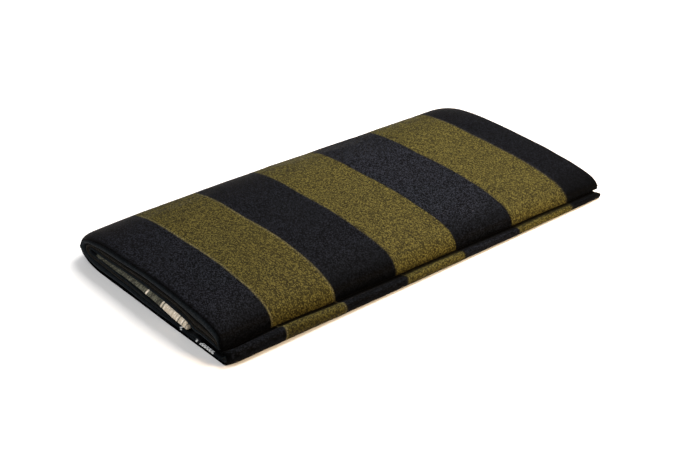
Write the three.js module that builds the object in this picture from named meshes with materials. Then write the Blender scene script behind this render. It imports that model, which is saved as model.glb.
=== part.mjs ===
// A lungi, the South Asian wrapped garment: one length of striped cotton, folded flat into a packet for storage.
// The cloth is folded in four across its width and in sixteen along its length, so each layer of the packet is four
// plies thick. The layers lie as one flattened roll that is bent double: the bend is the spine at the back, and the
// roll's two rounded ends are the upper and the lower fold at the front, with a crease between them.
// Millimetres. +X runs along the packet, +Y to the spine, +Z up. The origin is the middle of the face it rests on.
import * as THREE from "three";
import { mergeVertices } from "three/addons/utils/BufferGeometryUtils.js";

// Driving dimensions.
const LENGTH = 301; // a quarter of the 1200 mm loom width, and the bulge of the folded edges
const WALL = 1.2; // one layer: four plies of 0.3 mm
const SEAM = 0.3; // clearance between pieces
const CREASE = 0.4; // clearance between the two tucked ends of the outer layer

// How the packet's section changes along its length. at: distance from the left end. width: front to spine.
// crown: height of the packet. sag: how much lower the top is beside the spine. lip: height of the lower fold's front.
// valley: height of the lower layers at the bottom of the crease. tip: how far the upper fold stands back from the
// lower one. middle: height of the slot between the upper and the lower layers. round: fullness of the upper fold, where
// 2 is an ellipse and more is squarer.
const SECTIONS = [
  { at: 0, width: 147.2, crown: 23.2, sag: 1.0, lip: 9.2, valley: 5.1, tip: 7.8, middle: 10.4, round: 5.0 },
  { at: 40, width: 148.0, crown: 23.4, sag: 0.9, lip: 9.8, valley: 5.4, tip: 10.4, middle: 11.0, round: 2.6 },
  { at: 90, width: 148.0, crown: 22.5, sag: 1.2, lip: 8.3, valley: 4.4, tip: 9.6, middle: 11.0, round: 2.5 },
  { at: 135, width: 147.9, crown: 21.4, sag: 1.0, lip: 7.2, valley: 4.0, tip: 8.2, middle: 10.7, round: 2.5 },
  { at: 180, width: 147.5, crown: 19.6, sag: 0.6, lip: 6.4, valley: 3.9, tip: 7.0, middle: 9.9, round: 2.8 },
  { at: 230, width: 147.0, crown: 17.8, sag: 0.8, lip: 5.5, valley: 3.9, tip: 5.6, middle: 9.1, round: 2.8 },
  { at: 275, width: 146.3, crown: 16.4, sag: 0.6, lip: 4.7, valley: 3.9, tip: 4.4, middle: 8.4, round: 2.8 },
  { at: 301, width: 145.8, crown: 15.6, sag: 0.2, lip: 4.4, valley: 3.9, tip: 4.2, middle: 8.0, round: 2.8 },
];

// Shape of the outer layer's section: distances, and shares of the packet's height.
const TIP_RISE = 2.7; // height of the upper fold's foremost point above the valley
const SPINE_SHARE = 0.38; // height of the spine's hindmost point, as a share of the crown
const UNDER_TIP = 2.8; // how far behind the tip the upper fold's underside is level
const FRONT_SHOULDER = 60; // length of the upper fold's slope
const BACK_SHOULDER = 50; // length of the slope down to the spine
const SPINE_FOOT = 20; // length of the spine's underside curve
const TUCK = 19; // how far behind the tip the outer layer runs into the crease
const PAST_TUCK = 1.5; // distance behind its end in which the layers close up again
const RISE = 44; // distance behind the tip in which the slot rises to its middle height
const BACK_ROUND = 2.6; // fullness of the spine's shoulder
const LIP_FOOT = 0.4; // length of the lower fold's underside curve, as a share of its height

// The packet's corners are rounded off at its ends. reach: length of the rounding. width, crown, front: what is lost at
// the end, at the spine, on the top and from the lower fold's front.
const LEFT_END = { reach: 11, width: 6.5, crown: 0.8, front: 2.6 };
const RIGHT_END = { reach: 16, width: 10, crown: 1.2, front: 1.2 };

// The slot between the upper and the lower layers, and the turned-in end of the cloth that lies in it.
const SLOT_END = 131; // distance from the front to the slot's closed end
const BORDER_FRONT = 36;
const BORDER_BACK = 126;
const BORDER_THICKEST = 50; // distance from the front
const BORDER_THICK = 6.5; // there, at the left end
const BORDER_THIN = 1.2; // beside the spine
const BORDER_TAPER = 0.35; // share of the thickness that is left at the right end
const BORDER_INSET = [1.4, 2.0]; // from the left and the right end of the packet
const BORDER_EDGE = 0.8; // length of its rounded ends
const OPENING = 5; // distance before it in which the slot opens

// Layer edges at the two ends. to: depth in the layers, 0 on their outer face and 1 on their middle line. out: how far
// the rounded edge stands out of the groove before it. Each row starts at the depth where the last one ends.
const LEFT_LAYERS = [
  { to: 0.52, out: 3.2 },
  { to: 0.76, out: 2.2 },
  { to: 1, out: 2.6 },
];
const RIGHT_LAYERS = [
  { to: 0.34, out: 2.4 },
  { to: 0.68, out: 3.4 },
  { to: 1, out: 2.2 },
];
const LAYER_EDGE = 3.4; // length of the end in which the layers part
// The rounded edge of one layer. across: share of the way over the layer. rise: share of how far it stands out.
const LAYER_ROUND = [
  { across: 0, rise: 0 },
  { across: 0.12, rise: 0.72 },
  { across: 0.5, rise: 1 },
  { across: 0.88, rise: 0.72 },
];
const LAST_RISE = 0.8; // the rise of the innermost layer on the middle line
const CENTRE_SHARE = 0.6; // where the layers' middle line lies, from their outer face to the slot
const FAN = 4; // number of points at each front fold that share the middle line's end
// How far the lower fold's layers stand back at the right end, in what length, and below and before which place.
const SET_BACK = { far: 2.6, reach: 14, below: [2.5, 6], before: [10, 45] };

// How far the outer layer's edges stand back from the ends of the packet, from its upper tuck (way 0) over the top and
// round the spine to its lower tuck (way 1).
const EDGE_SET_BACK = [
  { way: 0, left: 1.7, right: 0.9 },
  { way: 0.25, left: 1.3, right: 0.6 },
  { way: 0.46, left: 1.3, right: 0.9 },
  { way: 0.53, left: 0.9, right: 1.7 },
  { way: 0.8, left: 0.5, right: 2.2 },
  { way: 1, left: 0.8, right: 2.4 },
];
const EDGE_ROUND = 0.5; // how far the middle of a folded edge stands out

// Numbers of points, and the stations of the sections as shares of the length.
const CURVE_STEPS = 7;
const FLAT_STEPS = 4;
const SLOT_STEPS = 48;
const BORDER_STEPS = 14;
const BEND_STEPS = 9;
const STATIONS = [0, 0.009, 0.022, 0.04, 0.09, 0.17, 0.26, 0.36, 0.46, 0.56, 0.66, 0.76, 0.86, 0.93, 0.965, 0.982, 0.993, 1];

const { lerp, smoothstep } = THREE.MathUtils;
const point = (x, y) => new THREE.Vector2(x, y);

// The row of a table at a place, with each column eased between the rows on either side.
function rowAt(table, key, place) {
  const next = Math.max(1, table.findIndex((row) => row[key] >= place));
  const [low, high] = [table[next - 1], table[next]];
  const share = smoothstep(place, low[key], high[key]);
  return Object.fromEntries(Object.keys(low).map((name) => [name, lerp(low[name], high[name], share)]));
}

// The section at a distance from the left end, with the rounding of the packet's corners.
function sectionAt(x) {
  const section = { ...rowAt(SECTIONS, "at", x), front: 0 };
  for (const [end, distance] of [[LEFT_END, x], [RIGHT_END, LENGTH - x]]) {
    const share = Math.max(0, 1 - distance / end.reach);
    const rounding = 1 - Math.sqrt(1 - share * share);
    section.width -= end.width * rounding;
    section.crown -= end.crown * rounding;
    section.front += end.front * rounding;
  }
  return section;
}

// A rounded quarter from the point where it is upright to the point where it is level.
function quarter(upright, level, steps, roundness) {
  return Array.from({ length: steps + 1 }, (_, i) => {
    const angle = (i / steps) * (Math.PI / 2);
    const rise = Math.pow(Math.sin(angle), 2 / roundness);
    return point(lerp(upright.x, level.x, 1 - Math.cos(angle)), lerp(upright.y, level.y, rise));
  });
}

function straight(from, to, steps) {
  return Array.from({ length: steps + 1 }, (_, i) => from.clone().lerp(to, i / steps));
}

// An S-shaped slope that is level at both of its ends.
function slope(from, to, steps) {
  return straight(from, to, steps).map((p, i) => point(p.x, lerp(from.y, to.y, smoothstep(i / steps, 0, 1))));
}

// Stretches one after the other, without the doubled point where two meet.
function joined(...stretches) {
  return stretches.flatMap((points, i) => (i ? points.slice(1) : points));
}

// The stretch again, with its points evenly spaced along it.
function respaced(points, steps) {
  const reach = [0];
  for (let i = 1; i < points.length; i += 1) {
    reach.push(reach[i - 1] + points[i].distanceTo(points[i - 1]));
  }
  return Array.from({ length: steps + 1 }, (_, i) => {
    const goal = (i / steps) * reach.at(-1);
    const next = Math.max(1, reach.findIndex((length) => length >= goal - 1e-9));
    const share = (goal - reach[next - 1]) / (reach[next] - reach[next - 1]);
    return points[next - 1].clone().lerp(points[next], share);
  });
}

// The line moved to the left of its direction.
function moved(line, distance) {
  return line.map((p, i) => {
    const ahead = line[Math.min(i + 1, line.length - 1)];
    const along = ahead.clone().sub(line[Math.max(i - 1, 0)]).normalize();
    return point(p.x - along.y * distance, p.y + along.x * distance);
  });
}

// The line without the points that have turned back on it where it was moved in over a tight curve.
function untangled(line, original) {
  return line.filter((p, i) => {
    const [before, ahead] = [Math.max(i - 1, 0), Math.min(i + 1, line.length - 1)];
    const course = original[ahead].clone().sub(original[before]);
    return line[ahead].clone().sub(line[before]).dot(course) > 0.15 * course.lengthSq();
  });
}

// Height of the slot's middle surface at a distance from the front.
function slotHeight(section, distance) {
  const share = smoothstep(distance, section.tip + UNDER_TIP, section.tip + RISE);
  return lerp(section.valley + CREASE / 2, section.middle, share);
}

// A line that follows the slot, moved up by an amount for each distance from the front.
function alongSlot(section, from, to, steps, rise) {
  return straight(point(from, 0), point(to, 0), steps).map((p) => {
    return point(p.x, slotHeight(section, p.x) + rise(p.x));
  });
}

// The outer face of the outer layer in three stretches: the tucked upper end and the upper fold's underside, the top,
// the spine and the bottom, and the lower fold's front, its top and the tucked lower end.
function outerFace(section) {
  const { width, crown, sag, lip, tip, valley, front } = section;
  const tuckEnd = tip + TUCK;
  const underTip = tip + UNDER_TIP;
  const upperTip = point(tip, valley + TIP_RISE);
  const spine = point(width, crown * SPINE_SHARE);
  const topFront = point(tip + FRONT_SHOULDER, crown);
  const topBack = point(width - BACK_SHOULDER, crown - sag);
  const lipTop = point(Math.min(front + lip / 2, tip - 1), lip);
  const lipFront = point(front, lip / 2);
  const lipFoot = point(front + LIP_FOOT * lip, 0);
  const foot = point(width - SPINE_FOOT, 0);
  const underside = point(underTip, slotHeight(section, underTip) + CREASE / 2);
  return [
    joined(
      alongSlot(section, tuckEnd, underTip, FLAT_STEPS, () => CREASE / 2),
      quarter(upperTip, underside, CURVE_STEPS, 2).reverse(),
    ),
    joined(
      quarter(upperTip, topFront, CURVE_STEPS + 3, section.round),
      slope(topFront, topBack, 3),
      quarter(spine, topBack, CURVE_STEPS + 2, BACK_ROUND).reverse(),
      quarter(spine, foot, CURVE_STEPS, 2),
      straight(foot, lipFoot, 2 * FLAT_STEPS),
      quarter(lipFront, lipFoot, CURVE_STEPS - 2, 2).reverse(),
    ),
    joined(
      quarter(lipFront, lipTop, CURVE_STEPS - 2, 2),
      slope(lipTop, point(tip, valley), CURVE_STEPS - 1),
      alongSlot(section, tip, tuckEnd, FLAT_STEPS, () => -CREASE / 2),
    ),
  ];
}

function borderThickness(distance, share) {
  const thick = lerp(BORDER_THICK, BORDER_THICK * BORDER_TAPER, share);
  return lerp(thick, BORDER_THIN, smoothstep(distance, BORDER_THICKEST, BORDER_BACK));
}

// The first part of a line that runs away from the front, cut at the marked distances and spaced evenly between them.
function inStretches(line, marks) {
  let rest = line;
  return joined(...marks.map(({ to, steps }) => {
    const next = rest.findIndex((p) => p.x > to);
    const cut = rest[next - 1].clone().lerp(rest[next], (to - rest[next - 1].x) / (rest[next].x - rest[next - 1].x));
    const stretch = [...rest.slice(0, next), cut];
    rest = [cut, ...rest.slice(next)];
    return respaced(stretch, steps);
  }));
}

// The closed outline of the hidden layers and, for each of its points, the point on their middle line below it.
function hiddenOutline(section, share) {
  const inset = (stretch, distance) => untangled(moved(stretch, -distance), stretch);
  const opening = (distance) => smoothstep(distance, BORDER_FRONT - OPENING, BORDER_FRONT - PAST_TUCK);
  const slotGap = (distance) => (borderThickness(distance, share) / 2) * opening(distance) + 2 * SEAM;
  const [under, around, over] = outerFace(section);
  const tuckEnd = section.tip + TUCK + SEAM;
  const outside = inset(around, WALL + 1.5 * SEAM);
  const pastTuck = (line) => [...line, point(tuckEnd + SEAM, line.at(-1).y)];
  const hollow = [outside.at(-1), ...inset(over, WALL + 2 * SEAM).slice(1)];
  const upper = [
    ...pastTuck(inset(under, WALL + 1.5 * SEAM).reverse()),
    ...alongSlot(section, tuckEnd + PAST_TUCK, SLOT_END + 1, SLOT_STEPS, slotGap),
  ];
  const lower = [
    ...pastTuck(hollow),
    ...alongSlot(section, tuckEnd + PAST_TUCK, SLOT_END + 1, SLOT_STEPS, (distance) => -slotGap(distance)),
  ];
  const behind = [{ to: tuckEnd, steps: 3 }, { to: BORDER_FRONT - 1, steps: 2 }, { to: SLOT_END, steps: 11 }];
  const upperMarks = [{ to: section.tip + 8, steps: 6 }, ...behind];
  const lowerMarks = [{ to: section.tip + 1, steps: 9 }, ...behind];
  const [outerUpper, outerLower] = [inStretches(outside, upperMarks), inStretches([...outside].reverse(), lowerMarks)];
  const [innerUpper, innerLower] = [inStretches(upper, upperMarks), inStretches(lower, lowerMarks)];
  const spine = [outerUpper.at(-1), ...outside.filter((p) => p.x > SLOT_END), outerLower.at(-1)];
  const end = point(SLOT_END + slotGap(SLOT_END), slotHeight(section, SLOT_END));
  const bend = joined(quarter(end, innerUpper.at(-1), 3, 2).reverse(), quarter(end, innerLower.at(-1), 3, 2));
  const outer = joined(outerUpper, respaced(spine, BEND_STEPS), outerLower.reverse());
  const inner = joined(innerUpper, respaced(bend, BEND_STEPS), innerLower.reverse());
  const centre = outer.map((_, i) => {
    const k = THREE.MathUtils.clamp(i, FAN, outer.length - 1 - FAN);
    return outer[k].clone().lerp(inner[k], CENTRE_SHARE);
  });
  return {
    outline: [...outer, ...inner.slice(1, -1).reverse()],
    centre: [...centre, ...centre.slice(1, -1).reverse()],
  };
}

// The profile of one end of the hidden layers: depth in the layers and distance from the end of the packet.
function layerProfile(layers) {
  const profile = [];
  let from = 0;
  for (const { to, out } of layers) {
    for (const { across, rise } of LAYER_ROUND) {
      profile.push({ depth: lerp(from, to, across), inset: LAYER_EDGE - out * rise });
    }
    from = to;
  }
  return [...profile, { depth: 1, inset: LAYER_EDGE - LAST_RISE * layers.at(-1).out }];
}

// A closed solid from rings of points of equal number. A ring that has closed up to a line or a point caps the solid.
function solidFrom(rings) {
  const positions = rings.flat().flatMap((p) => [p.x, p.y, p.z]);
  const count = rings[0].length;
  const index = [];
  for (let ring = 0; ring + 1 < rings.length; ring += 1) {
    for (let i = 0; i < count; i += 1) {
      const [a, b] = [ring * count + i, ring * count + ((i + 1) % count)];
      index.push(a, a + count, b, b, a + count, b + count);
    }
  }
  const geometry = new THREE.BufferGeometry();
  geometry.setAttribute("position", new THREE.Float32BufferAttribute(positions, 3));
  geometry.setIndex(index);
  return withoutSlivers(mergeVertices(geometry, 1e-3));
}

// The geometry without the triangles whose corners have merged.
function withoutSlivers(geometry) {
  const old = Array.from(geometry.index.array);
  const kept = [];
  for (let i = 0; i < old.length; i += 3) {
    const [a, b, c] = old.slice(i, i + 3);
    if (a !== b && b !== c && c !== a) {
      kept.push(a, b, c);
    }
  }
  geometry.setIndex(kept);
  return geometry;
}

const at3 = (x, p) => new THREE.Vector3(x, p.x, p.y);

// The hidden layers: one solid, with rounded edges of its layers and grooves between them at both ends.
function hiddenLayers() {
  const ringAt = (x, depth) => {
    const { outline, centre } = hiddenOutline(sectionAt(x), x / LENGTH);
    return outline.map((p, i) => {
      const low = 1 - smoothstep(centre[i].y, ...SET_BACK.below);
      const fore = 1 - smoothstep(centre[i].x, ...SET_BACK.before);
      const back = SET_BACK.far * low * fore * smoothstep(x, LENGTH - SET_BACK.reach, LENGTH);
      return at3(x - back, p.clone().lerp(centre[i], depth));
    });
  };
  const left = layerProfile(LEFT_LAYERS).map(({ depth, inset }) => ringAt(inset, depth));
  const right = layerProfile(RIGHT_LAYERS).map(({ depth, inset }) => ringAt(LENGTH - inset, depth));
  const places = STATIONS.map((share) => share * LENGTH).filter((x) => x > LAYER_EDGE && x < LENGTH - LAYER_EDGE);
  const between = places.map((x) => ringAt(x, 0));
  return solidFrom([...left.reverse(), ...between, ...right]);
}

// The outer layer: a wall with rounded edges at both ends.
function outerLayer() {
  const rings = STATIONS.map((share, k) => {
    const probe = outerFace(sectionAt(share * LENGTH)).flat().length - 2;
    const insets = Array.from({ length: probe }, (_, i) => rowAt(EDGE_SET_BACK, "way", i / (probe - 1)));
    const at = insets.map(({ left, right }) => lerp(left, LENGTH - right, share));
    const faces = at.map((x, i) => {
      const line = joined(...outerFace(sectionAt(x)));
      return [line[i], moved(line, -WALL)[i], moved(line, -WALL / 2)[i]];
    });
    const ring = [
      ...faces.map(([outside], i) => at3(at[i], outside)),
      ...faces.map(([, inside], i) => at3(at[i], inside)).reverse(),
    ];
    if (k > 0 && k < STATIONS.length - 1) {
      return [ring];
    }
    const side = k ? EDGE_ROUND : -EDGE_ROUND;
    const middle = faces.map(([, , between], i) => at3(at[i] + side, between));
    const edge = [...middle, ...[...middle].reverse()];
    return k ? [ring, edge] : [edge, ring];
  });
  return solidFrom(rings.flat());
}

// The turned-in end of the cloth, flat in the slot, with a rounded front fold and rounded ends.
function borderLayer() {
  const ringAt = (x, thickness) => {
    const section = sectionAt(x);
    const half = (distance) => (thickness * borderThickness(distance, x / LENGTH)) / 2;
    const front = half(BORDER_FRONT);
    const back = half(BORDER_BACK);
    const [from, to] = [BORDER_FRONT + front, BORDER_BACK - back];
    const upper = alongSlot(section, from, to, BORDER_STEPS, half);
    const lower = alongSlot(section, to, from, BORDER_STEPS, (distance) => -half(distance));
    const frontTip = point(BORDER_FRONT, slotHeight(section, BORDER_FRONT));
    const backTip = point(BORDER_BACK, slotHeight(section, BORDER_BACK));
    const outline = joined(
      quarter(frontTip, upper[0], 3, 2),
      upper,
      quarter(backTip, upper.at(-1), 3, 2).reverse(),
      quarter(backTip, lower[0], 3, 2),
      lower,
      quarter(frontTip, lower.at(-1), 3, 2).reverse(),
    );
    return outline.slice(0, -1).map((p) => at3(x, p));
  };
  const [left, right] = BORDER_INSET;
  const rounded = (fromEnd, thickness) => [
    [left + fromEnd * BORDER_EDGE, thickness],
    [LENGTH - right - fromEnd * BORDER_EDGE, thickness],
  ];
  const [[leftTip, rightTip], [leftRound, rightRound], [from, to]] = [rounded(0, 0), rounded(0.15, 0.6), rounded(1, 1)];
  const between = STATIONS.map((share) => [lerp(from[0], to[0], share), 1]);
  return solidFrom([leftTip, leftRound, ...between, rightRound, rightTip].map(([x, thick]) => ringAt(x, thick)));
}

const PIECES = [
  { name: "outer_layer", make: outerLayer, color: 0x242326, roughness: 0.9 },
  { name: "hidden_layers", make: hiddenLayers, color: 0x15181b, roughness: 0.95 },
  { name: "border_layer", make: borderLayer, color: 0x5d5430, roughness: 0.9 },
];

const part = new THREE.Group();
part.name = "folded_lungi";
for (const { name, make, color, roughness } of PIECES) {
  const material = new THREE.MeshStandardMaterial({ color, roughness, metalness: 0 });
  const mesh = new THREE.Mesh(make(), material);
  mesh.name = name;
  part.add(mesh);
}

// Centres the whole packet over the origin, with its underside on the ground.
const box = new THREE.Box3().setFromObject(part);
const middle = box.getCenter(new THREE.Vector3());
for (const mesh of part.children) {
  mesh.geometry.translate(-middle.x, -middle.y, -box.min.z);
  mesh.geometry.computeVertexNormals();
}

export default part;
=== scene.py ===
# A folded striped lungi: wide dark charcoal and olive stripes, folded flat into a long packet, with the cream lines of
# its cross-border showing at one end. Sizes are in millimetres in the tables and in metres in the meshes.
# x runs along the packet from the end with the cream lines, y from the open folds at the front to the spine, z up.
import math

import bpy
from mathutils import Matrix, Vector, noise


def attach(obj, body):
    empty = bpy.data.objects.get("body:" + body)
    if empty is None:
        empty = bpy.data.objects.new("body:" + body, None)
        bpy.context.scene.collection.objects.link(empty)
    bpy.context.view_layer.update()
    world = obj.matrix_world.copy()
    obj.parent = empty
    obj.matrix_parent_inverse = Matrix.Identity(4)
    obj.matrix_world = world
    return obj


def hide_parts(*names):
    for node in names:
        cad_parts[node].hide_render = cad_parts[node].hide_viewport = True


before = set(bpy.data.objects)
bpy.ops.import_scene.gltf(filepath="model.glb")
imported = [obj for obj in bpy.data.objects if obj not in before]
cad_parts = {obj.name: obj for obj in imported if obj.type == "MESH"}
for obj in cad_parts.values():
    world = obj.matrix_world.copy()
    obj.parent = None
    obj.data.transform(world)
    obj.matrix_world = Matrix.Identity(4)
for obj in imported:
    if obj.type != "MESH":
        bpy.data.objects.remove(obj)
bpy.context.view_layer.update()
bpy.ops.object.select_all(action="DESELECT")

# The packet's length, the front's distance from the middle, the outer layer's thickness of four plies of 0.3 mm, and
# the clearance between layers and in the front crease.
LENGTH = 301
FRONT = 74
WALL = 1.2
SEAM = 0.3
CREASE = 0.4

# The packet's section along its length. width: front to spine. crown: height. sag: how much lower the top is beside the
# spine. lip: height of the lower fold. valley: height of the lower layers in the front crease. tip: how far the upper
# fold stands back. middle: height of the slot between the layers. roundness: fullness of the upper fold.
COLUMNS = ("at", "width", "crown", "sag", "lip", "valley", "tip", "middle", "roundness")
SECTIONS = [
    (0, 147.2, 23.2, 1.0, 8.2, 4.8, 7.8, 10.4, 5.0),
    (40, 148.0, 23.4, 0.9, 8.0, 4.6, 10.2, 11.0, 2.7),
    (90, 148.0, 22.5, 1.2, 6.3, 3.8, 9.0, 11.0, 2.7),
    (135, 147.9, 21.4, 1.0, 5.3, 3.8, 7.8, 10.7, 2.7),
    (180, 147.5, 19.6, 0.6, 5.1, 3.8, 6.8, 9.9, 2.9),
    (230, 147.0, 17.8, 0.8, 4.4, 3.8, 5.5, 9.1, 2.9),
    (275, 146.3, 16.4, 0.6, 4.2, 3.8, 4.4, 8.4, 2.8),
    (301, 145.8, 15.6, 0.2, 4.0, 3.8, 4.2, 8.0, 2.8),
]
# The upper fold's foremost point above the valley, and how far behind it the slot begins.
TIP_RISE = 1.6
UNDER_TIP = 2.6
# How far behind that point the top is level, how far before the spine it is no longer, and the fullness of its back.
FRONT_SHOULDER = 60
BACK_SHOULDER = 50
BACK_ROUND = 2.6
# The height of the spine's rearmost point as a share of the crown, and how far before it the underside begins.
SPINE_SHARE = 0.38
SPINE_FOOT = 20
# How far the outer layer's tucks reach behind the upper fold's foremost point, and where the plies close in past them.
TUCK = 19
PAST_TUCK = 1.5
# The distance in which the slot rises to its middle height, and how far back the lower fold meets the surface.
RISE = 78
LIP_FOOT = 0.4
# Rounding of the packet's corners: reach along the packet, and what is lost at the spine, the top and the front.
ROUNDED_ENDS = {"left": (11, 6.5, 0.8, 2.6), "right": (16, 10, 1.2, 1.2)}

# The slot's end, measured from the front, and how far before the turned-in end of the cloth it opens.
SLOT_END = 131
OPENING = 5
# The turned-in end: its front and back, where it begins to thin and its thickness there and at its back, the share of
# its thickness that is left at the right end, and how far it stands back from that end.
BORDER_FRONT = 37.8
BORDER_BACK = 126
BORDER_THICKEST = 50
BORDER_THICK = 6.5
BORDER_THIN = 1.2
BORDER_TAPER = 0.35
BORDER_RIGHT = 2.0

# How far the outer layer's edges stand back from the ends, from its upper tuck round to its lower tuck:
# (share of the way, left, right).
EDGE_SET_BACK = [
    (0, 1.7, 2.0), (0.05, 1.6, 2.4), (0.07, 1.5, 2.2), (0.12, 1.4, 0.9), (0.25, 1.3, 0.6), (0.46, 1.3, 0.9),
    (0.53, 0.9, 1.7), (0.8, 0.5, 2.2), (0.9, 0.6, 2.6), (0.93, 0.7, 4.4), (1, 0.8, 5.2),
]
# How far the lower fold's plies stand back at the right end, in what length, and below and before which place.
SET_BACK = (3.4, 14, (2.5, 6), (10, 45))

# Edges of the hidden plies at each end: (depth where the ply ends below the outer face, and below the slot's face, how
# far its edge stands out of the groove). Depth is 0 on a face and 1 on the plies' middle line.
PLY_EDGES = {
    "left": [(0.58, 0.75, 3.1), (1, 1, 2.5)],
    "right": [(0.18, 0.2, 2.3), (0.40, 0.42, 3.1), (0.58, 0.6, 2.2), (0.80, 0.8, 3.3), (1, 1, 2.4)],
}
# The grooves' depth from the packet's end, and a ply's rounded edge: (share of the way across it, share of its height).
PLY_REACH = 3.4
PLY_ROUND = (
    (0, 0), (0.1, 0.2), (0.17, 0.55), (0.26, 0.85), (0.4, 0.97), (0.55, 1), (0.7, 0.95), (0.82, 0.75), (0.91, 0.35),
)
LAST_PLY_CREST = 0.75
# Where the plies' middle line lies, from their outer face to the slot's.
CENTRE_SHARE = 0.72
# Where the first ply's edge starts at each end: at the left it swells out under the outer layer's thin edge.
PLY_START = {"left": (-0.13, 0), "right": (0, 0)}
# The outer layer's thickness at its left edge, and how far in from it the layer is thin and is whole.
EDGE_WALL = (0.5, 1.6, 7)
# How far its edges round out past their last rings, and the rounding: (share of that, share of the way to its middle).
EDGE_BULGE = {"left": -0.3, "right": 0.5}
EDGE_ROUND = ((0.7, 0.35), (1, 1))
# The plies' middle line is cut short by this many points, so that its ends fan out.
FAN = 4

# Boundaries of the stripes on the cloth, from the left end: charcoal first, then olive and charcoal in turn.
STRIPES = (38.2, 83.0, 128.6, 176.8, 226.2, 273.4)
# How bright each stripe is made, from the left: (place across the stripes, brightness). The first 2 mm are a painted
# shadow line along the outer layer's left edge; the olive grows brighter to the right and the last charcoal is darkest.
STRIPE_TONES_AND_EDGE_SHADOW = [
    (0, 0.05), (1.9, 0.05), (2.8, 0.8), (20, 0.8), (60, 0.84), (83, 0.86), (86, 0.6), (126, 0.6), (129, 0.94),
    (153, 0.96), (177, 0.98), (180, 1.2), (223, 1.2), (226, 1), (250, 0.98), (273, 0.98), (276, 0.42), (295, 0.42),
]
# Painted shade on the olive and the charcoal: near black in the front crease's tucks, darker on the folds beside it
# and on the back of the top: (place round the cloth, olive, charcoal).
PAINTED_FOLD_SHADE = [
    (0, 0.05, 0.05),
    (17.2, 0.05, 0.05),
    (19.0, 1, 0.2),
    (30, 1, 0.35),
    (46, 1, 1),
    (125, 1, 1),
    (160, 0.7, 0.5),
    (240, 1, 1),
    (317, 1, 0.6),
    (322, 0.5, 0.25),
    (330, 0.55, 0.3),
    (334, 1, 0.55),
    (337, 1, 0.55),
    (339.5, 0.1, 0.1),
    (360, 0.05, 0.05),
]
# Where the stripes' boundaries lie on the packet, whose layers have slipped a little: (way along the section, the six
# boundaries).
STRIPE_PLACES = [
    (0, 37.5, 82.2, 128.2, 175.5, 222.4, 269.8),
    (22, 37.5, 82.2, 128.2, 175.5, 222.4, 269.8),
    (36, 38.3, 82.8, 129.3, 177.0, 224.5, 272.1),
    (62, 38.0, 83.3, 128.5, 176.8, 225.8, 273.2),
    (110, *STRIPES),
    (210, *STRIPES),
    (321, 39.7, 83.5, 130.7, 177.0, 224.1, 270.9),
    (330, 41.3, 84.0, 132.8, 177.6, 223.8, 271.3),
    (500, 41.3, 84.0, 132.8, 177.6, 223.8, 271.3),
]

# Numbers of rings along the outer layer.
STATIONS = 170
# The way all round, to which the cloth's pattern is stretched behind and below.
ROUND = 360
# Numbers of points in each stretch of the outer layer's section, from its upper tuck round to its lower tuck.
WAY_STEPS = (8, 8, 50, 24, 40, 16, 40, 7, 8, 8, 8)


def lerp(a, b, share):
    return a + (b - a) * share


def ease(value, low, high):
    share = min(1, max(0, (value - low) / (high - low)))
    return share * share * (3 - 2 * share)


def row_at(table, place):
    """The table's row at a place, which is its first column, eased between the rows on either side."""
    k = max(1, next(i for i, row in enumerate(table) if row[0] >= place - 1e-9))
    share = ease(place, table[k - 1][0], table[k][0])
    return [lerp(a, b, share) for a, b in zip(table[k - 1], table[k])]


def section_at(x):
    section = dict(zip(COLUMNS, row_at(SECTIONS, x)), front=0)
    for (reach, width, crown, front), distance in zip(ROUNDED_ENDS.values(), (x, LENGTH - x)):
        share = max(0, 1 - distance / reach)
        rounding = 1 - math.sqrt(1 - share * share)
        section["width"] -= width * rounding
        section["crown"] -= crown * rounding
        section["front"] += front * rounding
    return section


def along(a, b, share):
    return (lerp(a[0], b[0], share), lerp(a[1], b[1], share))


def quarter(upright, level, roundness=2, steps=7):
    """A rounded quarter from the point where it is upright to the point where it is level."""
    angles = [i / steps * math.pi / 2 for i in range(steps + 1)]
    return [
        (lerp(upright[0], level[0], 1 - math.cos(a)), lerp(upright[1], level[1], math.sin(a) ** (2 / roundness)))
        for a in angles
    ]


def straight(a, b, steps):
    return [along(a, b, i / steps) for i in range(steps + 1)]


def slope(a, b, steps):
    return [(p[0], lerp(a[1], b[1], ease(i / steps, 0, 1))) for i, p in enumerate(straight(a, b, steps))]


def joined(stretches):
    return [p for k, points in enumerate(stretches) for p in (points[1:] if k else points)]


def evenly(points, steps):
    """The line again with its points evenly spaced."""
    reach = [0]
    for a, b in zip(points, points[1:]):
        reach.append(reach[-1] + math.dist(a, b))
    spaced, k = [], 1
    for i in range(steps + 1):
        goal = i / steps * reach[-1]
        while k < len(reach) - 1 and reach[k] < goal:
            k += 1
        spaced.append(along(points[k - 1], points[k], (goal - reach[k - 1]) / max(1e-9, reach[k] - reach[k - 1])))
    return spaced


def normals(line):
    """The unit normals on the left of a line's direction."""
    found = []
    for i in range(len(line)):
        a, b = line[max(i - 1, 0)], line[min(i + 1, len(line) - 1)]
        size = math.dist(a, b)
        found.append(((a[1] - b[1]) / size, (b[0] - a[0]) / size))
    return found


def moved(line, distance):
    return [(p[0] + n[0] * distance, p[1] + n[1] * distance) for p, n in zip(line, normals(line))]


def inset(line, distance):
    """The line moved in to the right, without the points that turn back on it over a tight curve."""
    shifted = moved(line, -distance)
    kept = []
    for i, p in enumerate(shifted):
        a, b = max(i - 1, 0), min(i + 1, len(line) - 1)
        course = (line[b][0] - line[a][0], line[b][1] - line[a][1])
        now = (shifted[b][0] - shifted[a][0], shifted[b][1] - shifted[a][1])
        if now[0] * course[0] + now[1] * course[1] > 0.15 * (course[0] ** 2 + course[1] ** 2):
            kept.append(p)
    return kept


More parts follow.
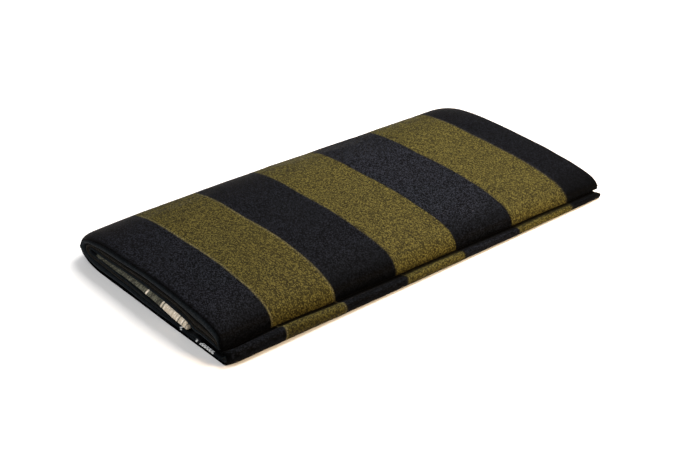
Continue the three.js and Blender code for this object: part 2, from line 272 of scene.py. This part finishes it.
def slot_height(section, distance):
    share = ease(distance, section["tip"] + UNDER_TIP, section["tip"] + RISE)
    return lerp(section["valley"] + CREASE / 2, section["middle"], share)


def along_slot(section, start, end, steps, rise):
    return [(y, slot_height(section, y) + rise(y)) for y, _ in straight((start, 0), (end, 0), steps)]


def outer_stretches(section, fine=1):
    """The outer layer's outer face: its upper tuck, the upper fold, the top, the spine, the underside, the lower fold
    and its lower tuck."""
    width, crown, sag, lip, valley, tip, roundness = (
        section[name] for name in ("width", "crown", "sag", "lip", "valley", "tip", "roundness")
    )
    upper_tip, spine = (tip, valley + TIP_RISE), (width, crown * SPINE_SHARE)
    top_front, top_back = (tip + FRONT_SHOULDER, crown), (width - BACK_SHOULDER, crown - sag)
    front = section["front"]
    lip_front, lip_foot, lip_top = (front, lip / 2), (front + LIP_FOOT * lip, 0), (min(front + lip / 2, tip - 1), lip)
    foot = (width - SPINE_FOOT, 0)
    under_tip = tip + UNDER_TIP
    underside = (under_tip, slot_height(section, under_tip) + CREASE / 2)
    return [
        along_slot(section, tip + TUCK, under_tip, 4 * fine, lambda y: CREASE / 2),
        quarter(upper_tip, underside, 3, 7 * fine)[::-1],
        quarter(upper_tip, top_front, roundness, 10 * fine),
        slope(top_front, top_back, 3 * fine),
        quarter(spine, top_back, BACK_ROUND, 9 * fine)[::-1],
        quarter(spine, foot, 2, 7 * fine),
        straight(foot, lip_foot, 8 * fine),
        quarter(lip_front, lip_foot, 2, 5 * fine)[::-1],
        quarter(lip_front, lip_top, 2, 5 * fine),
        slope(lip_top, (tip, valley), 6 * fine),
        along_slot(section, tip, tip + TUCK, 4 * fine, lambda y: -CREASE / 2),
    ]


def border_thickness(distance, share):
    thick = lerp(BORDER_THICK, BORDER_THICK * BORDER_TAPER, share)
    return lerp(thick, BORDER_THIN, ease(distance, BORDER_THICKEST, BORDER_BACK))


def in_stretches(line, marks):
    """The first part of a line that runs away from the front, cut at the marks and spaced evenly between them."""
    rest, cuts = line, []
    for end, steps in marks:
        k = next(i for i, p in enumerate(rest) if p[0] > end)
        cut = along(rest[k - 1], rest[k], (end - rest[k - 1][0]) / (rest[k][0] - rest[k - 1][0]))
        cuts.append(evenly(rest[:k] + [cut], steps))
        rest = [cut] + rest[k:]
    return joined(cuts)


def smoothed(ring, times):
    for _ in range(times):
        ring = [along(p, along(ring[i - 1], ring[(i + 1) % len(ring)], 0.5), 0.5) for i, p in enumerate(ring)]
    return ring


def ply_outline(section, share):
    """The hidden plies' closed outline, the point on their middle line that lies below each of its points, and the side
    that each is on: 0 below the outer face and 1 on the slot's face."""
    stretches = outer_stretches(section)
    under, around, over = joined(stretches[:2]), joined(stretches[2:8]), joined(stretches[8:])

    def gap(y):
        opening = ease(y, BORDER_FRONT - OPENING, BORDER_FRONT - PAST_TUCK)
        return border_thickness(y, share) / 2 * opening + 2 * SEAM

    tuck_end = section["tip"] + TUCK + SEAM
    outside = inset(around, WALL + 1.5 * SEAM)
    upper = inset(under, WALL + 1.5 * SEAM)[::-1]
    lower = [outside[-1]] + inset(over, WALL + 2 * SEAM)[1:]
    upper += [(tuck_end + SEAM, upper[-1][1])]
    lower += [(tuck_end + SEAM, lower[-1][1])]
    upper += along_slot(section, tuck_end + PAST_TUCK, SLOT_END + 1, 48, gap)
    lower += along_slot(section, tuck_end + PAST_TUCK, SLOT_END + 1, 48, lambda y: -gap(y))
    behind = [(tuck_end, 5), (BORDER_FRONT - 1, 4), (SLOT_END, 26)]
    upper_marks, lower_marks = [(section["tip"] + 8, 14)] + behind, [(section["tip"] + 1, 17)] + behind
    outer_upper, outer_lower = in_stretches(outside, upper_marks), in_stretches(outside[::-1], lower_marks)
    inner_upper, inner_lower = in_stretches(upper, upper_marks), in_stretches(lower, lower_marks)
    spine = [outer_upper[-1]] + [p for p in outside if p[0] > SLOT_END] + [outer_lower[-1]]
    end = (SLOT_END + gap(SLOT_END), slot_height(section, SLOT_END))
    bend = joined([quarter(end, inner_upper[-1], 2, 6)[::-1], quarter(end, inner_lower[-1], 2, 6)])
    outer = joined([outer_upper, evenly(spine, 22), outer_lower[::-1]])
    inner = joined([inner_upper, evenly(bend, 22), inner_lower[::-1]])
    last = len(outer) - 1 - FAN
    centre = [along(outer[k], inner[k], CENTRE_SHARE) for k in (min(last, max(FAN, i)) for i in range(len(outer)))]
    sides = [0.5 - 0.5 * ease(min(i, len(outer) - 1 - i), 0, 7) for i in range(len(outer))]
    sides += [1 - side for side in sides[-2:0:-1]]
    return smoothed(outer + inner[-2:0:-1], 1), smoothed(centre + centre[-2:0:-1], 3), sides


def uneven(seed, *place):
    """A smooth unevenness from -1 to 1."""
    return noise.noise(Vector((*place, 0, 0, 0)[:3]) + Vector((17.3 * seed, 5.1 * seed, 9.7 * seed)))


# Soft creases of the outer layer: (x, way, x, way, depth, half width), with way measured along its section from its
# upper tuck: 21 to 90 is the upper fold, to 176 the top, to 199 the spine's foot, to 323 the underside.
CREASES = [
    (4, 58, 120, 61, 0.28, 7),
    (150, 64, 296, 60, 0.22, 8),
    (60, 118, 300, 112, 0.20, 9),
    (158, 33.4, 178, 35.4, 0.30, 1.3),
    (163, 36.5, 172, 37.5, 0.16, 1.2),
    (227, 43.6, 242, 46.3, 0.26, 1.3),
    (96, 36, 112, 34, 0.24, 1.8),
    (258, 33, 280, 35, 0.24, 2.0),
    (30, 33, 52, 31, 0.22, 2.2),
    (130, 32, 150, 33, 0.22, 2.0),
    (40, 150, 90, 154, 0.24, 4),
    (150, 158, 210, 155, 0.24, 4),
    (20, 182, 80, 180, 0.30, 3),
    (110, 186, 190, 184, 0.30, 3),
    (215, 181, 285, 183, 0.28, 3),
    (10, 226, 140, 230, 0.28, 6),
    (120, 262, 292, 258, 0.26, 7),
    (30, 296, 150, 300, 0.24, 6),
    (190, 236, 210, 306, 0.20, 5),
]


def relief(x, way):
    """How far the outer layer stands out or in at a place: a slow unevenness, and its creases."""
    rise = 0.16 * uneven(1, x / 34, way / 26) + 0.07 * uneven(2, x / 11, way / 9)
    for x0, way0, x1, way1, depth, half in CREASES:
        run = (x1 - x0, way1 - way0)
        share = min(1, max(0, ((x - x0) * run[0] + (way - way0) * run[1]) / (run[0] ** 2 + run[1] ** 2)))
        wander = half * 0.5 * uneven(3, x / 22, way0)
        away = math.dist((x, way + wander), (x0 + run[0] * share, way0 + run[1] * share)) / half
        if away < 3:
            strength = 0.75 + 0.25 * uneven(4, x / 15, way0)
            rise += depth * strength * (0.55 * math.exp(-((away - 1.7) ** 2) * 2.2) - math.exp(-away * away))
    return rise


def settled(x, y, z):
    """The whole packet's soft unevenness: its top sinks and swells, and its front folds wander a little."""
    height = min(1, max(0, z / 18))
    swell = 0.30 * uneven(5, x / 62, y / 48) * height
    front = 0.35 * uneven(6, x / 48, z / 30) * (1 - ease(y, 0, 40)) * ease(z, 0, 4)
    return x, y + front, max(0, z + swell)


def cloth_place(x, way):
    """Where a point of the packet lies across the cloth's stripes."""
    here, there = (0, *row_at(STRIPE_PLACES, way)[1:], LENGTH), (0, *STRIPES, LENGTH)
    k = next((i for i in range(1, len(here)) if here[i] >= x), len(here) - 1)
    return lerp(there[k - 1], there[k], (x - here[k - 1]) / (here[k] - here[k - 1]))


def placed(points):
    return [Vector((x - LENGTH / 2, y - FRONT, z)) / 1000 for x, y, z in points]


# The pattern's UV coordinates are in units of this many millimetres.
PATTERN_UNIT = 100


def cloth_mesh(name, rings, marks):
    """A closed piece from rings of points of equal number, capped by its first and last rings, which have closed up to
    a line or a point. marks gives each point's place in the cloth in millimetres, for its pattern."""
    count = len(rings[0])
    faces = [
        (r * count + i, (r + 1) * count + i, (r + 1) * count + (i + 1) % count, r * count + (i + 1) % count)
        for r in range(len(rings) - 1)
        for i in range(count)
    ]
    mesh = bpy.data.meshes.new(name)
    mesh.from_pydata(placed([settled(*p) for ring in rings for p in ring]), [], faces)
    places = [place for ring in marks for place in ring]
    pattern = mesh.uv_layers.new(name="cloth")
    for loop in mesh.loops:
        pattern.data[loop.index].uv = [v / PATTERN_UNIT for v in places[loop.vertex_index]]
    piece = bpy.data.objects.new(name, mesh)
    bpy.context.collection.objects.link(piece)
    bpy.context.view_layer.objects.active = piece
    piece.select_set(True)
    bpy.ops.object.mode_set(mode="EDIT")
    bpy.ops.mesh.select_all(action="SELECT")
    bpy.ops.mesh.remove_doubles(threshold=1e-6)
    bpy.ops.mesh.normals_make_consistent(inside=False)
    bpy.ops.object.mode_set(mode="OBJECT")
    bpy.ops.object.shade_smooth()
    piece.select_set(False)
    return piece


# The outer layer: how far its ends wander, the points beside its tucks over which its relief fades out, and the ways
# between which it lies on the surface and its relief may only go in.
END_WANDER = 0.25
CALM = (4, 20)
UNDERSIDE = (200, 322)
# The ways between which its pattern is stretched, and how far the stripes' boundaries wander.
STRETCH = (150, 320)
STRIPE_WANDER = 0.25


def outer_cloth():
    """The wrapped outer layer, in rings along the packet that stand closer to each other near its ends."""
    rings, marks = [], []
    shares = [0.5 - 0.5 * math.cos(math.pi * (0.06 + 0.88 * k / STATIONS)) for k in range(STATIONS + 1)]
    shares = [lerp(k / STATIONS, (s - shares[0]) / (shares[-1] - shares[0]), 0.5) for k, s in enumerate(shares)]
    for k, share in enumerate(shares):
        line = joined([evenly(s, n) for s, n in zip(outer_stretches(section_at(share * LENGTH), 4), WAY_STEPS)])
        count = len(line)
        slack = ROUND - sum(math.dist(a, b) for a, b in zip(line, line[1:]))
        backs = [row_at(EDGE_SET_BACK, i / (count - 1)) for i in range(count)]
        outer, inner, middle, cloth = [], [], [], []
        way = 0
        lines = {}
        for i, (_, left, right) in enumerate(backs):
            end_wander = END_WANDER * uneven(7, i / 14, 3 if share > 0.5 else 0)
            x = lerp(left + end_wander, LENGTH - right + end_wander, share)
            key = round(x, 2)
            if key not in lines:
                near = section_at(x)
                here = joined([evenly(s, n) for s, n in zip(outer_stretches(near, 4), WAY_STEPS)])
                lines[key] = (here, normals(here))
            here, sides = lines[key]
            if i:
                way += math.dist(line[i - 1], line[i])
            rise = relief(x, way) * ease(i, *CALM) * ease(count - 1 - i, *CALM)
            if UNDERSIDE[0] < way < UNDERSIDE[1]:
                rise = min(0, -abs(rise))
            p, n = here[i], sides[i]
            wall = lerp(EDGE_WALL[0], WALL, ease(x - left, *EDGE_WALL[1:]))
            for depth, points in ((0, outer), (wall, inner), (wall / 2, middle)):
                points.append((x, p[0] + n[0] * (rise - depth), p[1] + n[1] * (rise - depth)))
            across = cloth_place(x, way) + STRIPE_WANDER * uneven(11, x / 30, way / 18)
            cloth.append((across, way + slack * ease(way, *STRETCH)))
        ring, place = outer + inner[::-1], cloth + cloth[::-1]
        rings.append(ring)
        marks.append(place)
        if k in (0, STATIONS):
            bulge = EDGE_BULGE["right" if k else "left"]
            for reach, inward in EDGE_ROUND:
                edge = [
                    [(x + bulge * reach, *along((y, z), m[1:], inward)) for (x, y, z), m in zip(face, middle)]
                    for face in (outer, inner)
                ]
                rings.insert(len(rings) if k else 0, edge[0] + edge[1][::-1])
                marks.append(place) if k else marks.insert(0, place)
    return cloth_mesh("outer_cloth", rings, marks)


# Corners of single plies that stick out, or stand back where negative: (end, y, z, how far, spread).
CORNERS = [
    ("right", 7, 9.5, -1.6, 2.4),
    ("right", 5.0, 4.7, 4.4, 1.3),
    ("right", 2.6, 0.9, 4.4, 1.3),
    ("left", 144, 9, 1.0, 2.0),
]


# How far a loose ply's edge wanders along the packet and up or down, and up to which height the lower fold's do.
LOOSE = (0.6, 0.2)
LOWER_PLIES = (4.4, 5.4)
# The length in the pattern that stands for one ply, and how much of it the ply's edge takes.
PLY_MARK, PLY_EDGE_MARK = 10, 9
RINGS_BETWEEN = 24


def inner_plies():
    """The hidden plies: grooved ends, where each ply's edge stands out by itself, and one plain stretch between."""
    outlines = {}

    def ring_at(x, depths):
        key = round(x, 1)
        if key not in outlines:
            outlines[key] = ply_outline(section_at(key), key / LENGTH)
        return [along(p, c, lerp(*depths, side)) for p, c, side in zip(*outlines[key])]

    def set_back(x, y, z):
        far, reach, below, before = SET_BACK
        return far * (1 - ease(z, *below)) * (1 - ease(y, *before)) * ease(x, LENGTH - reach, LENGTH)

    def end_rings(end):
        rings, marks, start = [], [], PLY_START[end]
        for ply, (under, inside, out) in enumerate(PLY_EDGES[end]):
            stop = (under, inside)
            for across, rise in PLY_ROUND + (((1, LAST_PLY_CREST),) if under == 1 else ()):
                depths = [lerp(a, b, across) for a, b in zip(start, stop)]
                ring = []
                for y, z in ring_at(PLY_REACH if end == "left" else LENGTH - PLY_REACH, depths):
                    loose = 1 if start[0] < depths[0] < 1 else 0
                    wander = uneven(8, ply * 3.7, y / 21, z / 5) * LOOSE[0] * loose
                    back = PLY_REACH - (out + wander) * rise
                    for side, y0, z0, far, spread in CORNERS:
                        if side == end and start[0] < 0.5:
                            back -= far * rise * math.exp(-((math.dist((y, z), (y0, z0)) / spread) ** 2))
                    if end == "right":
                        back += set_back(LENGTH, y, z) * (1 - ease(z, *LOWER_PLIES))
                    shift = LOOSE[1] * uneven(9, ply * 2.3, y / 17, z / 6) * loose
                    ring.append((back if end == "left" else LENGTH - back, y, z + shift))
                rings.append(ring)
                marks.append([(ply * PLY_MARK + across * PLY_EDGE_MARK, y) for _, y, _ in ring])
            start = stop
        return (rings[::-1], marks[::-1]) if end == "left" else (rings, marks)

    left, left_marks = end_rings("left")
    right, right_marks = end_rings("right")
    stations = (k / RINGS_BETWEEN * LENGTH for k in range(1, RINGS_BETWEEN))
    middle = [[(x, *p) for p in ring_at(x, (0, 0))] for x in stations]
    middle = [[(x - set_back(x, y, z), y, z) for x, y, z in ring] for ring in middle]
    middle_marks = [[(0, y) for _, y, _ in ring] for ring in middle]
    return cloth_mesh("inner_plies", left + middle + right, left_marks + middle_marks + right_marks)


# The turned-in end's left edge: a soft roll, and beside the spine two plies with a groove between them.
BORDER_LEFT = 0.4
BORDER_ROLL = 1.5
BORDER_SPREAD = 0.3
BORDER_GROOVE = 2.6
# How far the cream lines lean to the spine from the edge's top to its foot, to either side of the middle.
LEAN = 1.75


def border_cloth():
    """The turned-in end of the cloth: one fold, closed in a soft roll at the left, thin beside the spine."""
    steps = 60

    def half(x, y):
        return border_thickness(y, x / LENGTH) / 2 + BORDER_SPREAD * ease(y, 92, 110) * (1 - ease(x, 0, 60))

    def ring_at(x, thickness):
        section = section_at(x)

        def rise(y):
            return thickness * half(x, y)

        front, back = rise(BORDER_FRONT), rise(BORDER_BACK)
        upper = along_slot(section, BORDER_FRONT + front, BORDER_BACK - back, steps, rise)
        lower = along_slot(section, BORDER_BACK - back, BORDER_FRONT + front, steps, lambda y: -rise(y))
        front_tip = (BORDER_FRONT, slot_height(section, BORDER_FRONT))
        back_tip = (BORDER_BACK, slot_height(section, BORDER_BACK))
        turns = [quarter(front_tip, upper[0]), upper, quarter(back_tip, upper[-1])[::-1]]
        turns += [quarter(back_tip, lower[0]), lower, quarter(front_tip, lower[-1])[::-1]]
        line = joined(turns)[:-1]
        return [(y, z, (z - slot_height(section, y)) / max(1e-6, half(x, y))) for y, z in line]

    def edge(y, depth):
        roll = BORDER_ROLL * (1 - math.sqrt(max(0, 1 - depth * depth)))
        two = BORDER_GROOVE * (1 - ease(depth, 0.12, 0.42)) + 0.7 * ease(depth, 0.6, 1.1)
        return lerp(roll, two, ease(y, 97, 106) * (1 - ease(y, 124.3, 125.6)))

    left, right = BORDER_LEFT, LENGTH - BORDER_RIGHT
    rings = [("edge", depth) for depth in (0, 0.08, 0.16, 0.26, 0.36, 0.46, 0.6, 0.74, 0.86, 0.94, 1)]
    rings += [(lerp(left + BORDER_ROLL, right - 1.3, k / 20), 1) for k in range(1, 20)]
    rings += [(right - 1.3 * (1 - math.sin(a)), math.cos(a)) for a in (i / 5 * math.pi / 2 for i in range(6))]
    meshed, marks = [], []
    for place, depth in rings:
        near = left if place == "edge" else place
        line = ring_at(near, depth)
        wander = [0.3 * uneven(10, y / 12) for y, _, _ in line]
        across = [left + edge(y, depth) if place == "edge" else place for y, _, _ in line]
        meshed.append([(x + w, y, z) for x, w, (y, z, _) in zip(across, wander, line)])
        marks.append([(x, y + LEAN * height) for x, (y, _, height) in zip(across, line)])
    return cloth_mesh("border_cloth", meshed, marks)


# Ends of the cream lines, in pairs from the front: on the turned-in end and on the edges of the lower plies.
CREAM_ON_BORDER = (37.0, 38.9, 39.5, 41.9, 42.5, 45.6, 46.5, 60.0, 61.0, 62.3, 75.3, 76.7)
CREAM_ON_PLIES = (14.4, 16.2, 16.7, 18.4, 18.9, 20.6, 21.1, 22.7, 23.2, 24.8, 25.2, 26.4, 28.8, 30.0, 43.3, 44.7)
# On the lower plies they show up to this far from the left end, and up to this height.
CREAM_LIMITS = (2.2, 3.5)
# Where the pale thread runs in each olive stripe, from its boundary, and how much it shows.
PALE_THREAD = (0.1, 0.6)
PALE_SHARE = 0.27


def linear(code):
    """An sRGB hex colour as linear RGBA."""
    channels = [int(code[i : i + 2], 16) / 255 for i in (1, 3, 5)]
    return [c / 12.92 if c <= 0.04045 else ((c + 0.055) / 1.055) ** 2.4 for c in channels] + [1]


def add(tree, kind, values=(), links=(), **settings):
    """Adds a node with its settings, its sockets' values and its links."""
    node = tree.nodes.new("ShaderNode" + kind)
    for name, value in settings.items():
        setattr(node, name, value)
    for socket, value in dict(values).items():
        node.inputs[socket].default_value = value
    for socket, source in dict(links).items():
        tree.links.new(source, node.inputs[socket])
    return node


def graded(tree, source, stops):
    """A value that runs from stop to stop along a source in millimetres, by one ramp."""
    longest = stops[-1][0] + 1
    scaled = add(tree, "Math", {1: 1 / longest}, {0: source}, operation="MULTIPLY").outputs[0]
    ramp = add(tree, "ValToRGB", links={0: scaled})
    elements = ramp.color_ramp.elements
    elements[0].position, elements[0].color = stops[0][0] / longest, [stops[0][1]] * 3 + [1]
    elements[1].position, elements[1].color = stops[-1][0] / longest, [stops[-1][1]] * 3 + [1]
    for place, value in stops[1:-1]:
        element = elements.new(place / longest)
        element.color = [value] * 3 + [1]
    return ramp.outputs[0]


def bands(tree, source, edges, soft):
    """1 between each pair of edges along a source in millimetres, and 0 elsewhere."""
    stops = []
    for k, edge in enumerate(edges):
        stops += [(edge - soft / 2, k % 2), (edge + soft / 2, 1 - k % 2)]
    return graded(tree, source, stops)


# The real threads are 0.35 mm apart, too fine to show, so they are drawn coarser, in millimetres: the width and length
# of a thread's uneven bits, and the spacing of the threads' crossings.
SLUB = (0.5, 0.95)
CROSSINGS = (0.6, 0.7)
# How deep the threads' relief looks.
WEAVE_DEPTH = 0.3


def woven_cotton(name, sheen):
    """A plain-woven matt cotton, whose fine uneven relief gives it no shine, and the parts of its material that its
    pattern is built from: its place in the cloth in millimetres, and a number from 0 to 1 for each crossing of its
    threads."""
    material = bpy.data.materials.new(name)
    material.use_nodes = True
    tree = material.node_tree
    surface = tree.nodes["Principled BSDF"]
    surface.inputs["Roughness"].default_value = 0.5
    surface.inputs["Specular IOR Level"].default_value = 0.008
    surface.inputs["Sheen Weight"].default_value = sheen
    surface.inputs["Sheen Roughness"].default_value = 0.5
    cloth = add(tree, "UVMap", uv_map="cloth").outputs[0]
    place = add(tree, "VectorMath", {1: (PATTERN_UNIT,) * 3}, {0: cloth}, operation="MULTIPLY").outputs[0]
    threads = []
    for bit in (SLUB, SLUB[::-1]):
        scale = (1 / bit[0], 1 / bit[1], 1)
        stretched = add(tree, "VectorMath", {1: scale}, {0: place}, operation="MULTIPLY").outputs[0]
        slub = add(tree, "TexNoise", {"Scale": 1.0, "Detail": 0.0, "Roughness": 0.5}, {"Vector": stretched})
        threads.append(slub.outputs[0])
    height = add(tree, "Math", links={0: threads[0], 1: threads[1]}, operation="ADD").outputs[0]
    dent = add(tree, "Bump", {"Strength": WEAVE_DEPTH, "Distance": 0.0003}, {"Height": height})
    tree.links.new(dent.outputs[0], surface.inputs["Normal"])
    crossing = add(tree, "VectorMath", {1: (*CROSSINGS, 1)}, {0: place}, operation="SNAP").outputs[0]
    grain = add(tree, "TexWhiteNoise", links={"Vector": crossing}, noise_dimensions="2D").outputs["Value"]
    return material, tree, surface, place, grain


def speckled(tree, grain, dark, light):
    """A cloth colour between two thread colours, speckled by the threads that cross."""
    share = add(tree, "Math", {1: 2}, {0: grain}, operation="POWER").outputs[0]
    return add(tree, "Mix", {6: linear(dark), 7: linear(light)}, {0: share}, data_type="RGBA").outputs[2]


def toned(tree, colour, tone):
    """A colour multiplied by a brightness."""
    return add(tree, "Mix", {0: 1}, {6: colour, 7: tone}, data_type="RGBA", blend_type="MULTIPLY").outputs[2]


def striped_cotton():
    """Charcoal and olive stripes: the olive is mustard threads crossed with black ones, so it is speckled, and a pale
    thread runs along both edges of each olive stripe. A few specks of lint show on the charcoal."""
    material, tree, surface, place, grain = woven_cotton("striped_woven_cotton", 0.01)
    across = add(tree, "SeparateXYZ", links={0: place}).outputs[0]
    olive_here = bands(tree, across, STRIPES, 0.35)
    edges = [edge + v for edge, side in zip(STRIPES, (1, -1) * 3) for v in sorted(side * v for v in PALE_THREAD)]
    thread_here = bands(tree, across, edges, 0.2)
    dark = speckled(tree, grain, "#000000", "#202228")
    olive = speckled(tree, grain, "#221e0c", "#5a5226")
    thread = speckled(tree, grain, "#534e35", "#706b53")
    lint = add(tree, "TexVoronoi", {"Scale": 0.07}, {"Vector": place})
    near = add(tree, "Math", {1: 0.022}, {0: lint.outputs["Distance"]}, operation="LESS_THAN").outputs[0]
    few = add(tree, "SeparateXYZ", links={0: lint.outputs["Color"]}).outputs[0]
    few = add(tree, "Math", {1: 0.3}, {0: few}, operation="LESS_THAN").outputs[0]
    speck = add(tree, "Math", links={0: near, 1: few}, operation="MULTIPLY").outputs[0]
    dark = add(tree, "Mix", {7: linear("#55535a")}, {0: speck, 6: dark}, data_type="RGBA").outputs[2]
    way = add(tree, "SeparateXYZ", links={0: place}).outputs[1]
    # Painted shade in the front crease, on the folds beside it and on the back of the top.
    olive = toned(tree, olive, graded(tree, way, [(at, tone) for at, tone, _ in PAINTED_FOLD_SHADE]))
    dark = toned(tree, dark, graded(tree, way, [(at, tone) for at, _, tone in PAINTED_FOLD_SHADE]))
    ground = add(tree, "Mix", links={0: olive_here, 6: dark, 7: olive}, data_type="RGBA").outputs[2]
    # Stripe brightness, with a painted shadow line along the outer layer's left edge.
    ground = toned(tree, ground, graded(tree, across, STRIPE_TONES_AND_EDGE_SHADOW))
    faint = add(tree, "Math", {1: PALE_SHARE}, {0: thread_here}, operation="MULTIPLY").outputs[0]
    colour = add(tree, "Mix", links={0: faint, 6: ground, 7: thread}, data_type="RGBA").outputs[2]
    tree.links.new(colour, surface.inputs["Base Color"])
    return material


def dark_cotton():
    """The plies' edges: near black with a teal cast on the outer ply, and browner within. The lower plies show the ends
    of their cream lines at the left: two dots and a finely ribbed block."""
    material, tree, surface, place, grain = woven_cotton("dark_woven_cotton", 0.03)
    edge = speckled(tree, grain, "#0f1314", "#1c1f22")
    brown = speckled(tree, grain, "#100f0c", "#231f19")
    ply = add(tree, "SeparateXYZ", links={0: place}).outputs[0]
    share = add(tree, "MapRange", {1: PLY_EDGE_MARK, 2: 12, 3: 0, 4: 1}, {0: ply}).outputs[0]
    colour = add(tree, "Mix", links={0: share, 6: edge, 7: brown}, data_type="RGBA").outputs[2]
    # Painted shade: the colour goes near black in the grooves between the plies' edges.
    beside = add(tree, "Math", {1: PLY_MARK / 2}, {0: ply}, operation="PINGPONG").outputs[0]
    groove_shade = add(tree, "MapRange", {1: 1.1, 2: 2.7, 3: 0.97, 4: 0}, {0: beside}).outputs[0]
    colour = add(tree, "Mix", {7: linear("#020202")}, {0: groove_shade, 6: colour}, data_type="RGBA").outputs[2]
    spot = add(tree, "TexCoord").outputs["Object"]
    spot = add(tree, "VectorMath", {1: (1000, 1000, 1000)}, {0: spot}, operation="MULTIPLY").outputs[0]
    spot = add(tree, "VectorMath", {1: (LENGTH / 2, FRONT, 0)}, {0: spot}, operation="ADD").outputs[0]
    spot = add(tree, "SeparateXYZ", links={0: spot})
    cream_here = bands(tree, spot.outputs[1], CREAM_ON_PLIES, 0.25)
    at_end = add(tree, "Math", {1: CREAM_LIMITS[0]}, {0: spot.outputs[0]}, operation="LESS_THAN").outputs[0]
    low = add(tree, "Math", {1: CREAM_LIMITS[1]}, {0: spot.outputs[2]}, operation="LESS_THAN").outputs[0]
    for limit in (at_end, low):
        cream_here = add(tree, "Math", links={0: cream_here, 1: limit}, operation="MULTIPLY").outputs[0]
    cream = speckled(tree, grain, "#b9b8b4", "#f0eeea")
    colour = add(tree, "Mix", links={0: cream_here, 6: colour, 7: cream}, data_type="RGBA").outputs[2]
    tree.links.new(colour, surface.inputs["Base Color"])
    return material


def olive_cotton():
    """The cross-border's greyish olive ground with woven cream lines, broad and narrow."""
    material, tree, surface, place, grain = woven_cotton("olive_bordered_cotton", 0.03)
    back = add(tree, "SeparateXYZ", links={0: place}).outputs[1]
    cream_here = bands(tree, back, CREAM_ON_BORDER, 0.3)
    olive = speckled(tree, grain, "#33322a", "#605f50")
    cream = speckled(tree, grain, "#aca08c", "#dcd0bd")
    colour = add(tree, "Mix", links={0: cream_here, 6: olive, 7: cream}, data_type="RGBA").outputs[2]
    tree.links.new(colour, surface.inputs["Base Color"])
    return material


def place_camera():
    """A long lens from the front left, 31 degrees down, turned by under two degrees about its own axis."""
    azimuth, elevation, roll = (math.radians(a) for a in (-41.735, 30.546, 1.730))
    level = math.cos(elevation)
    ahead = Vector((-math.sin(azimuth) * level, math.cos(azimuth) * level, -math.sin(elevation)))
    right = ahead.cross(Vector((0, 0, 1))).normalized()
    up = right.cross(ahead)
    right, up = right * math.cos(roll) + up * math.sin(roll), up * math.cos(roll) - right * math.sin(roll)
    data = bpy.data.cameras.new("camera")
    data.lens, data.sensor_width = 86.774, 36
    camera = bpy.data.objects.new("camera", data)
    bpy.context.collection.objects.link(camera)
    turn = Matrix((right, up, -ahead)).transposed().to_4x4()
    aim = Vector((-0.0005, -0.013, 0.010))
    camera.matrix_world = Matrix.Translation(aim - right * 0.014767 - up * 0.004081 - ahead * 0.99205) @ turn
    bpy.context.scene.camera = camera


def place_light(name, location, aim, size, power, colour):
    data = bpy.data.lights.new(name, "AREA")
    data.size, data.energy, data.color = size, power, linear(colour)[:3]
    light = bpy.data.objects.new(name, data)
    light.location = location
    light.rotation_euler = (Vector(aim) - Vector(location)).to_track_quat("-Z", "Y").to_euler()
    bpy.context.collection.objects.link(light)


def studio():
    bpy.ops.mesh.primitive_plane_add(size=8, location=(0, 0, -0.0001))
    floor = bpy.context.object
    floor.name = "floor"
    bpy.ops.object.transform_apply(location=True)
    material = bpy.data.materials.new("matt_paper")
    material.use_nodes = True
    surface = material.node_tree.nodes["Principled BSDF"]
    surface.inputs["Base Color"].default_value = linear("#f3f0ea")
    surface.inputs["Roughness"].default_value = 1
    surface.inputs["Specular IOR Level"].default_value = 0
    floor.data.materials.append(material)
    world = bpy.data.worlds.new("studio")
    world.use_nodes = True
    world.node_tree.nodes["Background"].inputs[0].default_value = linear("#fff0dc")
    world.node_tree.nodes["Background"].inputs[1].default_value = 0.08
    bpy.context.scene.world = world
    place_light("overhead", (0.45, 0.05, 0.75), (0, 0, 0), 0.6, 14, "#fcfcff")
    place_light("high", (-0.3, 0.5, 2.2), (0, 0, 0), 2.6, 9, "#f4f7ff")
    place_light("back", (0.92, 1.03, 0.82), (0, 0, 0), 0.9, 4, "#e8eeff")
    place_light("front", (0.9, -1.3, 0.9), (0, 0, 0), 0.8, 38, "#ffdcb0")
    place_light("left", (-1.2, 0.3, 0.8), (0, 0, 0), 0.8, 12, "#eef4ff")
    place_light("front_left", (-0.8, -1.0, 0.9), (0, 0, 0), 0.8, 5, "#ffffff")
    scene = bpy.context.scene
    scene.view_settings.view_transform = "Standard"


place_camera()
PIECES = [
    (outer_cloth, striped_cotton, "outer_layer", "striped_cotton"),
    (inner_plies, dark_cotton, "hidden_layers", "dark_cotton"),
    (border_cloth, olive_cotton, "border_layer", "olive_cotton"),
]
for make, finish, node, slot in PIECES:
    piece = make()
    piece.data.materials.append(finish())
    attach(piece, "root")
    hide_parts(node)
studio()
